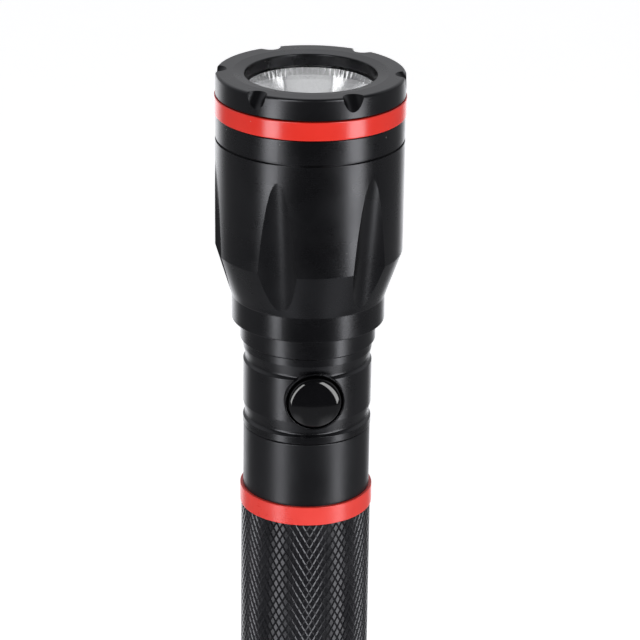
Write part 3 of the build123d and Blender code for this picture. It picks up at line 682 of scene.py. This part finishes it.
def make_neck():
    """Stepped neck with two V grooves and the hole that the button's ring sits in."""
    foot, top = low("switch_housing"), high("switch_housing")
    corners = [(NECK_BORE_R, foot, 0.1), (SLEEVE_THREAD_R, foot, 0.1)]
    corners += thread(SLEEVE_THREAD_R, foot, low("handle_seal"), SLEEVE_LANDS)
    corners += seal_groove(SLEEVE_THREAD_R, "handle_seal")
    corners += [
        (SLEEVE_THREAD_R, SLEEVE_Z + PARTING, 0),
        (BAND_R, SLEEVE_Z + PARTING, 0.20),
    ]
    corners += v_groove(LOWER_GROOVE_Z, LOWER_GROOVE_FLANK)
    corners += v_groove(UPPER_GROOVE_Z, UPPER_GROOVE_FLANK)
    corners += [
        (BAND_R, NECK_STEP_Z - 0.40, 0.05),
        (BAND_R - UNDERCUT, NECK_STEP_Z - 0.36, 0),
        (BAND_R - UNDERCUT, NECK_STEP_Z - 0.05, 0),
        (NECK_R, NECK_STEP_Z, 0.10),
        (NECK_R, NECK_Z, 0),
        (NECK_THREAD_R, NECK_Z, 0),
    ]
    corners += seal_groove(NECK_THREAD_R, "neck_seal")
    corners += thread(NECK_THREAD_R, high("neck_seal"), top, NECK_LANDS)
    corners += [
        (NECK_BORE_R - NECK_LIP, top, 0),
        (NECK_BORE_R - NECK_LIP, high("switch_carrier"), 0),
        (NECK_BORE_R, high("switch_carrier"), 0),
    ]
    piece = turned("neck", corners)
    centre, front = Vector((0, 0, BUTTON_Z)), Vector((0, -1, 0))
    cut(piece, [rod("button_hole", centre, front, BUTTON_HOLE_RUN, BUTTON_HOLE_R)])
    return dress(piece, BLACK, "torch", "black_aluminium", "switch_housing")


# ------------------------------------------------------------------ button
# Its pieces are turned round the Z axis and then laid round the button's own axis, so their
# heights are distances from the torch's axis outwards.
BUTTON_R = 5.72
BUTTON_EDGE = 14.55  # where the dome starts
BUTTON_LIP = 0.25
BUTTON_FLANGE = 10.50  # underside of the flange that holds the button in its ring
BUTTON_FLANGE_R = BUTTON_R + 0.48
BUTTON_FLANGE_THICK = 0.60
BUTTON_SKIRT_R = 4.60
BUTTON_HOLLOW = 12.90
BUTTON_POST_R = 1.40
BUTTON_RING_R = 6.55
BUTTON_RING_BORE_R = 6.22
BUTTON_RING_FACE = 14.35
BUTTON_HOLE_R = BUTTON_RING_R + 0.02
BUTTON_HOLE_RUN = 20.0  # from the torch's axis to well outside the neck
DOME_STEPS = 28


def across_torch(piece):
    """Turns a piece made round +Z so that it lies round the button's axis, facing -Y."""
    lie_down = Matrix.Rotation(radians(90), 4, "X")
    piece.data.transform(Matrix.Translation((0, 0, BUTTON_Z * MM)) @ lie_down)
    return piece


def make_button_ring():
    """Thin ring round the button."""
    back = BUTTON_RING_FACE - (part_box("button_ring")[1].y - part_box("button_ring")[0].y) / MM
    corners = [
        (BUTTON_RING_BORE_R, back, 0.05),
        (BUTTON_RING_R, back, 0.05),
        (BUTTON_RING_R, BUTTON_RING_FACE, 0.12),
        (BUTTON_RING_BORE_R, BUTTON_RING_FACE, 0.12),
    ]
    piece = across_torch(turned("button_collar", corners, SMALL_SEGMENTS))
    return dress(piece, BLACK, "torch", "black_aluminium", "button_ring")


def make_button():
    """Hollow cap with a flange, a post in the middle and a half-elliptic dome."""
    post = -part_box("button_cap")[1].y / MM
    corners = [
        (0, post, 0),
        (BUTTON_POST_R, post, 0.1),
        (BUTTON_POST_R, BUTTON_HOLLOW, 0.3),
        (BUTTON_SKIRT_R, BUTTON_HOLLOW, 0.3),
        (BUTTON_SKIRT_R, BUTTON_FLANGE, 0.1),
        (BUTTON_FLANGE_R, BUTTON_FLANGE, 0.08),
        (BUTTON_FLANGE_R, BUTTON_FLANGE + BUTTON_FLANGE_THICK, 0.08),
        (BUTTON_R, BUTTON_FLANGE + BUTTON_FLANGE_THICK, 0),
        (BUTTON_R, BUTTON_EDGE - BUTTON_LIP, 0),
    ]
    for step in range(DOME_STEPS + 1):
        turn = pi / 2 * step / DOME_STEPS
        r = BUTTON_R * cos(turn) if step < DOME_STEPS else 0
        corners.append((r, BUTTON_EDGE + (BUTTON_FRONT - BUTTON_EDGE) * sin(turn), 0))
    piece = across_torch(turned("button", corners, SMALL_SEGMENTS))
    return dress(piece, BUTTON, "button", "button_plastic", "button_cap")


SPRING_WIRE_R = 0.25
SPRING_SIDES = 10
SPRING_TURNS = 3
SPRING_STEPS = 28  # in a turn


def make_switch_spring():
    """Return spring under the button, built at one length; the real spring shortens while the
    button goes in.
    """
    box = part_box("switch_spring")
    back, front = -box[1].y / MM, -box[0].y / MM
    coil_r = radius("switch_spring") - SPRING_WIRE_R
    rise = front - back - 2 * SPRING_WIRE_R
    up = Vector((0, 0, 1))
    round_wire = [2 * pi * i / SPRING_SIDES for i in range(SPRING_SIDES)]
    steps = SPRING_TURNS * SPRING_STEPS
    bm = bmesh.new()
    rings = []
    for step in range(steps + 1):
        turn = 2 * pi * step / SPRING_STEPS
        side = Vector((cos(turn), sin(turn), 0))
        centre = side * coil_r + up * (back + SPRING_WIRE_R + rise * step / steps)
        spokes = [side * cos(a) + up * sin(a) for a in round_wire]
        rings.append([bm.verts.new(centre + SPRING_WIRE_R * spoke) for spoke in spokes])
    for ring, other in zip(rings, rings[1:]):
        for i in range(SPRING_SIDES):
            bm.faces.new((ring[i - 1], ring[i], other[i], other[i - 1]))
    bm.faces.new(rings[0])
    bm.faces.new(rings[-1])
    piece = across_torch(new_object("return_spring", bm))
    dress(piece, STEEL, "torch", "steel", "switch_spring")
    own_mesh(piece)
    return piece


# ------------------------------------------------------------------ handle
KNURL_COUNT = 60  # diamonds round the grip
KNURL_PITCH = 2.75  # height of a diamond
KNURL_DEPTH = 0.155
KNURL_FLAT = 0.66  # share of a diamond that its flat top takes
KNURL_ROOT_R = GRIP_R - KNURL_DEPTH
KNURL_SHARP_ANGLE = 15.0
TUBE_EDGE_R = GRIP_R - 0.8
TUBE_EDGE = 0.5  # height of the slope beside the joint of tube and cap
TUBE_KNURL_GAP = 0.9  # from that joint up to the grip's knurl
CAP_KNURL_GAP = 0.8  # and down to the tail cap's knurl
SLEEVE_R = 13.97
TUBE_BORE_R = 11.75
SOCKET_SPARE = 1.0  # free depth of a socket beyond the spigot in it
CAP_THREAD_R = 12.80
RING_FILLET = 0.22
RING_BORE_R = SLEEVE_R + 0.02
RING_SHY = 0.3  # how much lower the grip's ring is than the CAD one


def knurl(bm, crest, low_z, high_z):
    """Flat-topped diamonds between two sets of crossing helical grooves."""
    half_rows = 2 * round((high_z - low_z) / KNURL_PITCH)
    step_z = (high_z - low_z) / half_rows
    step_turn = pi / KNURL_COUNT
    root = crest - KNURL_DEPTH
    valleys = {}

    def valley(column, row):
        key = (column % (2 * KNURL_COUNT), row)
        if key not in valleys:
            angle = key[0] * step_turn
            z = low_z + row * step_z
            valleys[key] = bm.verts.new((root * cos(angle), root * sin(angle), z))
        return valleys[key]

    def crest_point(column, row, side, rise):
        angle = (column + side * KNURL_FLAT) * step_turn
        z = low_z + (row + rise * KNURL_FLAT) * step_z
        return bm.verts.new((crest * cos(angle), crest * sin(angle), z))

    for row in range(half_rows + 1):
        for column in range(row % 2, 2 * KNURL_COUNT, 2):
            left, right = valley(column - 1, row), valley(column + 1, row)
            flat_left, flat_right = crest_point(column, row, -1, 0), crest_point(column, row, 1, 0)
            for rise, inside in ((1, row < half_rows), (-1, row > 0)):
                if not inside:
                    bm.faces.new((left, flat_left, flat_right, right))
                    continue
                tip, flat_tip = valley(column, row + rise), crest_point(column, row, 0, rise)
                bm.faces.new((left, tip, flat_tip, flat_left))
                bm.faces.new((tip, right, flat_right, flat_tip))
                bm.faces.new((flat_left, flat_tip, flat_right))


def add_knurl(piece, crest, low_z, high_z):
    """Joins a knurled skin to a dressed piece; the skin gets the glossier knurl finish."""
    bm = bmesh.new()
    knurl(bm, crest, low_z, high_z)
    skin = new_object("knurl_skin", bm, sharp_angle=KNURL_SHARP_ANGLE)
    skin.data.materials.append(KNURL_BLACK)
    with bpy.context.temp_override(active_object=piece, selected_editable_objects=[piece, skin]):
        bpy.ops.object.join()
    return piece


def make_handle():
    """Smooth front sleeve and knurled grip of the battery tube, with a socket at each end."""
    front_socket = low("switch_housing") - SOCKET_SPARE
    rear_socket = high("tail_cap") + SOCKET_SPARE
    corners = [
        (SLEEVE_THREAD_R + THREAD_GAP, SLEEVE_Z - PARTING, 0.1),
        (SLEEVE_R, SLEEVE_Z - PARTING, 0.20),
        (SLEEVE_R, GRIP_Z, 0),
        (KNURL_ROOT_R, GRIP_Z, 0),
        (KNURL_ROOT_R, CAP_Z + TUBE_EDGE, 0.1),
        (TUBE_EDGE_R, CAP_Z, 0.1),
        (CAP_THREAD_R + THREAD_GAP, CAP_Z, 0.1),
        (CAP_THREAD_R + THREAD_GAP, rear_socket, 0),
        (TUBE_BORE_R, rear_socket, 0),
        (TUBE_BORE_R, front_socket, 0),
        (SLEEVE_THREAD_R + THREAD_GAP, front_socket, 0),
    ]
    piece = turned("handle", corners)
    dress(piece, SLEEVE_BLACK, "torch", "black_aluminium", "handle_tube")
    return add_knurl(piece, GRIP_R, CAP_Z + TUBE_KNURL_GAP, GRIP_Z)


def make_accent_ring(name, node, inner, material, low_z, high_z):
    """Red ring with rounded outer edges."""
    corners = [
        (inner, low_z, 0),
        (radius(node), low_z, RING_FILLET),
        (radius(node), high_z, RING_FILLET),
        (inner, high_z, 0),
    ]
    return dress(turned(name, corners), material, "torch", "red_aluminium", node)


# ------------------------------------------------------------------ tail cap
CAP_BORE_R = 11.55
CAP_LANDS = (0.55, 0.40)
CAP_FLOOR_Z = 6.00
CAP_FACE_Z = CAP_Z - 0.05
CAP_GROOVE_Z = 7.60
CAP_GROOVE = 0.60  # depth and half width of the V groove
TAIL_R = 12.90
LANYARD = Vector((-20.0, 10.9, 3.0))  # where the drill for the cord's hole starts
LANYARD_RUN = 40.0
LANYARD_R = 1.60
LANYARD_SEGMENTS = 48


def make_tail_cap():
    """Screw-on cap with a knurled band, a V groove and a cross hole for a wrist cord."""
    top = high("tail_cap")
    corners = [
        (0, 0, 0),
        (TAIL_R, 0, 0.4),
        (GRIP_R, GRIP_R - TAIL_R, 0.4),
        (GRIP_R, CAP_GROOVE_Z - CAP_GROOVE, 0.1),
        (GRIP_R - CAP_GROOVE, CAP_GROOVE_Z, 0.1),
        (KNURL_ROOT_R, CAP_GROOVE_Z + 0.4, 0),
        (KNURL_ROOT_R, CAP_FACE_Z - TUBE_EDGE, 0.1),
        (TUBE_EDGE_R, CAP_FACE_Z, 0.1),
        (CAP_THREAD_R, CAP_FACE_Z, 0),
    ]
    corners += seal_groove(CAP_THREAD_R, "tail_cap_seal")
    corners += thread(CAP_THREAD_R, high("tail_cap_seal"), top, CAP_LANDS)
    corners += [
        (CAP_THREAD_R - SPIGOT_CHAMFER, top, 0.1),
        (CAP_BORE_R, top, 0.1),
        (CAP_BORE_R, CAP_FLOOR_Z, 0.2),
        (0, CAP_FLOOR_Z, 0),
    ]
    piece = turned("tail", corners)
    sideways = Vector((1, 0, 0))
    cut(piece, [rod("lanyard_drill", LANYARD, sideways, LANYARD_RUN, LANYARD_R, LANYARD_SEGMENTS)])
    dress(piece, SLEEVE_BLACK, "tail_cap", "black_aluminium", "tail_cap")
    return add_knurl(piece, GRIP_R, CAP_GROOVE_Z + CAP_GROOVE, CAP_FACE_Z - CAP_KNURL_GAP)


# ------------------------------------------------------------------ optics
REFLECTOR_MOUTH_R = 13.60
REFLECTOR_HOLE_R = 4.00
REFLECTOR_WALL = 1.20
REFLECTOR_FLANGE = 1.50
BACK_END = 2.50  # how far below the edge the bowl's back runs into the flange
BACK_DROOP = 0.40
BOWL_STEPS = 48
RIB_COUNT = 72
RIB_SEGMENTS = 8
RIB_LENGTH = 1.90
RIB_DEPTH = 0.060


def make_reflector():
    """Parabolic bowl with a flange and fine ribs that fade out below its edge."""
    top, foot = high("reflector") + GLASS_RISE, low("reflector")
    curve = (REFLECTOR_MOUTH_R**2 - REFLECTOR_HOLE_R**2) / (top - foot)
    inside, outside = [], []
    for step in range(BOWL_STEPS + 1):
        r = REFLECTOR_HOLE_R + (REFLECTOR_MOUTH_R - REFLECTOR_HOLE_R) * step / BOWL_STEPS
        z = foot + (r**2 - REFLECTOR_HOLE_R**2) / curve
        inside.append((r, z))
        if z < top - BACK_END:
            outside.append((r + REFLECTOR_WALL, z - BACK_DROOP * step / BOWL_STEPS))
    flange = [(radius("reflector"), top - REFLECTOR_FLANGE), (radius("reflector"), top)]
    outline = inside[::-1] + [(outside[0][0], foot)] + outside[1:] + flange
    bm = bmesh.new()
    revolve(bm, outline, RIB_SEGMENTS * RIB_COUNT)
    for corner in bm.verts:
        off = corner.co.xy.length
        share = (corner.co.z - top) / RIB_LENGTH + 1
        if share > 0 and off < REFLECTOR_MOUTH_R + 0.01:
            rib = RIB_DEPTH * share * sin(RIB_COUNT * atan2(corner.co.y, corner.co.x))
            corner.co.xy *= 1 + rib / off
    return dress(new_object("reflector_bowl", bm), MIRROR, "torch", "mirror_plastic", "reflector")


def make_lens():
    """Flat front glass."""
    r, top, foot = radius("lens"), GLASS_Z, low("lens") + GLASS_RISE
    corners = [(0, foot, 0), (r, foot, 0.15), (r, top, 0.15), (0, top, 0)]
    return dress(turned("front_lens", corners), GLASS, "front_glass", "clear_glass", "lens")


# ------------------------------------------------------------------ carried-over CAD nodes
NODE_LOOKS = {
    "bezel_seal": RUBBER, "neck_seal": RUBBER, "handle_seal": RUBBER, "tail_cap_seal": RUBBER,
    "lens_seal": SILICONE, "led_emitter": PHOSPHOR, "led_board": WHITE_MASK,
    "led_gasket": WHITE_PLASTIC, "led_board_screws": STEEL, "heat_sink": ALUMINIUM,
    "led_leads": WIRE, "switch_leads": WIRE, "driver_board": BOARD,
    "driver_retaining_ring": BRASS, "carrier_retaining_ring": BRASS,
    "battery_plus_contact": BRASS, "switch_plunger": WHITE_PLASTIC, "switch_body": BLACK_PLASTIC,
    "switch_carrier": BLACK_PLASTIC, "tail_spring": STEEL, "tail_contact_plate": STEEL,
    "battery_cell_1": SLEEVE, "battery_cell_2": SLEEVE, "battery_cell_3": SLEEVE,
}


def dress_nodes():
    """Gives the CAD nodes that stay as they are their looks."""
    for name, material in NODE_LOOKS.items():
        node = NODES[name]
        node.data.materials.clear()
        node.data.materials.append(material)


# ------------------------------------------------------------------ stage
CAMERA_AZIMUTH = -7.2
CAMERA_PITCH = 21.537
CAMERA_ROLL = 0.804
CAMERA_AWAY = 596.6
CAMERA_RIGHT = 2.66
CAMERA_ABOVE = 178.95
CAMERA_LENS = 165.16
CAMERA_SENSOR = 36.0
CAMERA_CLIP = (0.01, 50.0)  # metres


def make_camera():
    """Long lens that looks down at the head a little from the button's left."""
    data = bpy.data.cameras.new("camera")
    data.lens = CAMERA_LENS
    data.sensor_width = CAMERA_SENSOR
    data.clip_start, data.clip_end = CAMERA_CLIP
    camera = bpy.data.objects.new("camera", data)
    bpy.context.scene.collection.objects.link(camera)
    side = outward(CAMERA_AZIMUTH)
    right = Vector((-side.y, side.x, 0))
    place = side * CAMERA_AWAY + right * CAMERA_RIGHT + Vector((0, 0, RIM_Z + CAMERA_ABOVE))
    turn = Matrix.Rotation(radians(CAMERA_AZIMUTH), 4, "Z")
    turn = turn @ Matrix.Rotation(radians(90 - CAMERA_PITCH), 4, "X")
    turn = turn @ Matrix.Rotation(radians(CAMERA_ROLL), 4, "Z")
    camera.matrix_world = Matrix.Translation(place * MM) @ turn
    bpy.context.scene.camera = camera


# Angles of the lights are counted from the camera's azimuth.
LIGHT_AWAY = 450.0
SOFTBOX_Z = (20.0, 430.0)
SOFTBOX_RADIANCE = 7.0
SOFTBOXES = {  # angle of the foot, angle of the top, width
    "softbox_left": (-52, -18, 115.0),
    "softbox_right": (63, 29, 135.0),
}
PANEL_Z = (330.0, 900.0)
PANELS = {  # angle, width, radiance
    "bowl_panel_middle": (5, 900.0, 0.85),
    "bowl_panel_left": (-56, 190.0, 3.0),
    "bowl_panel_right": (68, 190.0, 3.0),
}
STRIP_RADIANCE = 3.8
STRIP_NEAR = 180.0
STRIP_WIDTH = 95.0
STRIP_Z = 2.0
STRIPS = {"floor_strip_left": -46, "floor_strip_right": 60}
FLOOR_GLOW = 0.6
FLOOR_SIZE = 8000.0


def reach(light, pieces, state):
    """Lets a light reach only some pieces (INCLUDE) or everything but them (EXCLUDE)."""
    chosen = bpy.data.collections.new(light.name)
    for piece in pieces:
        chosen.objects.link(piece)
    for entry in chosen.collection_objects:
        entry.light_linking.link_state = state
    light.light_linking.receiver_collection = chosen


def area_light(name, width, length, radiance, middle, turn):
    """Rectangle of light with a given radiance that the camera doesn't see."""
    data = bpy.data.lights.new(name, "AREA")
    data.shape = "RECTANGLE"
    data.size, data.size_y = width * MM, length * MM
    data.energy = radiance * pi * data.size * data.size_y
    light = bpy.data.objects.new(name, data)
    bpy.context.scene.collection.objects.link(light)
    light.matrix_world = Matrix.Translation(middle * MM) @ turn
    light.visible_camera = False
    return light


def softbox(name, foot_angle, top_angle, width, heights, radiance):
    """Upright strip light that leans from a foot at one angle to a top at another."""
    foot_angle, top_angle = CAMERA_AZIMUTH + foot_angle, CAMERA_AZIMUTH + top_angle
    foot = outward(foot_angle) * LIGHT_AWAY + Vector((0, 0, heights[0]))
    top = outward(top_angle) * LIGHT_AWAY + Vector((0, 0, heights[1]))
    along = (top - foot).normalized()
    back = outward((foot_angle + top_angle) / 2)
    across = along.cross(back).normalized()
    turn = Matrix((across, along, across.cross(along))).transposed().to_4x4()
    return area_light(name, width, (top - foot).length, radiance, (top + foot) / 2, turn)


def floor_strip(name, angle):
    """Strip light that lies on the floor and shows only as a reflection."""
    angle = CAMERA_AZIMUTH + angle
    middle = outward(angle) * (LIGHT_AWAY + STRIP_NEAR) / 2 + Vector((0, 0, STRIP_Z))
    turn = Matrix.Rotation(radians(angle), 4, "Z") @ Matrix.Rotation(radians(180), 4, "X")
    length = LIGHT_AWAY - STRIP_NEAR
    light = area_light(name, STRIP_WIDTH, length, STRIP_RADIANCE, middle, turn)
    light.visible_diffuse = False
    return light


def make_lights(optics, lower_pieces):
    """Softboxes for all but the optics, panels for the optics, strips for the lower pieces."""
    for name, (foot_angle, top_angle, width) in SOFTBOXES.items():
        box = softbox(name, foot_angle, top_angle, width, SOFTBOX_Z, SOFTBOX_RADIANCE)
        reach(box, optics, "EXCLUDE")
    for name, (angle, width, radiance) in PANELS.items():
        panel = softbox(name, angle, angle, width, PANEL_Z, radiance)
        reach(panel, optics, "INCLUDE")
    for name, angle in STRIPS.items():
        reach(floor_strip(name, angle), lower_pieces, "INCLUDE")


def make_floor():
    """Pale paper, left out of reflections: the world stands in for what is near the torch."""
    half = FLOOR_SIZE / 2
    bm = bmesh.new()
    corners = [(-half, -half), (half, -half), (half, half), (-half, half)]
    bm.faces.new([bm.verts.new((x, y, 0)) for x, y in corners])
    floor = new_object("floor", bm)
    white = (1.0, 1.0, 1.0, 1.0)
    look = Look("floor_paper", Emission_Color=white, Emission_Strength=FLOOR_GLOW)
    look.colour(look.mix(look.noise(3.0), (0.90, 0.90, 0.90), (0.93, 0.93, 0.93)))
    look.roughness(look.ramp(look.noise(40.0), 0.3, 0.7, 0.75, 0.85))
    floor.data.materials.append(look.material)
    floor.visible_glossy = False


# Brightness of the world's parts.  Its directions are unit vectors: y is negative towards the
# side that has the button, and z is negative below the horizon.
WORLD_TINT = (0.965, 0.972, 1.0, 1.0)
BELOW_LEVEL, SKY_LEVEL = 0.20, 0.48
OVERHEAD_LEVEL = 0.1
BACKLIGHT_LEVEL = 1.9  # low down behind the torch
HIGH_BACK_LEVEL = 0.7
POOL_LEVEL = 0.4  # on the ground, left and right of the torch
DARK_LEVEL = 0.01


def make_world():
    """Bright from above and behind, grey below, and dark on the side it is seen from."""
    world = bpy.data.worlds.new("studio")
    world.use_nodes = True
    bpy.context.scene.world = world
    nodes = Nodes(world.node_tree)
    x, y, z = nodes.split(nodes.node("ShaderNodeTexCoord").outputs["Generated"])

    def product(*factors):
        result = factors[0]
        for factor in factors[1:]:
            result = nodes.math("MULTIPLY", result, factor)
        return result

    def smooth(value, start, end, low_out=0.0, high_out=1.0):
        return nodes.ramp(value, start, end, low_out, high_out, kind="SMOOTHSTEP")

    sideways = nodes.math("ABSOLUTE", x)
    overhead = smooth(nodes.math("MULTIPLY_ADD", z, 0.6, y), 0.25, 0.80)
    level = smooth(z, -0.05, 0.15, BELOW_LEVEL, SKY_LEVEL)
    backlight = product(smooth(y, 0.65, 0.92, 0.0, BACKLIGHT_LEVEL),
                        smooth(z, -0.15, 0.05, 1.0, 0.0))
    high_back = product(smooth(z, 0.46, 0.62, 0.0, HIGH_BACK_LEVEL), smooth(y, 0.40, 0.70))
    pools = product(smooth(sideways, 0.12, 0.32), smooth(sideways, 0.45, 0.65, 1.0, 0.0),
                    smooth(z, -0.80, -0.60, POOL_LEVEL, 0.0))
    for part in (product(overhead, OVERHEAD_LEVEL), backlight, high_back, pools):
        level = nodes.math("ADD", level, part)
    front = smooth(nodes.math("MULTIPLY", y, -1.0), 0.0, 0.35)
    not_steep = smooth(z, -0.46, -0.40)
    unlit = product(front, not_steep, nodes.math("SUBTRACT", 1.0, overhead))
    lit = nodes.math("SUBTRACT", 1.0, unlit)
    level = nodes.math("MULTIPLY_ADD", level, lit, DARK_LEVEL)
    # What the camera sees past the floor's edge is as white as the floor.
    seen = nodes.node("ShaderNodeLightPath").outputs["Is Camera Ray"]
    background = world.node_tree.nodes["Background"]
    background.inputs["Color"].default_value = WORLD_TINT
    nodes.link(nodes.math("MAXIMUM", level, seen), background.inputs["Strength"])


# ------------------------------------------------------------------ the torch and its stage
make_bezel()
make_head()
neck = make_neck()
make_button_ring()
make_button()
make_switch_spring()
handle = make_handle()
tail = make_tail_cap()
make_accent_ring("red_head_ring", "head_accent_ring", BEZEL_THREAD_R + THREAD_GAP, HEAD_RED,
                 HEAD_Z + PARTING, BEZEL_Z - PARTING)
grip_ring = make_accent_ring("red_grip_ring", "handle_accent_ring", RING_BORE_R, GRIP_RED,
                             GRIP_Z + PARTING, RING_Z - RING_SHY)
reflector = make_reflector()
lens = make_lens()
dress_nodes()
make_camera()
make_lights([reflector, lens], [neck, handle, tail, grip_ring])
make_floor()
make_world()
bpy.context.scene.view_settings.view_transform = "Standard"
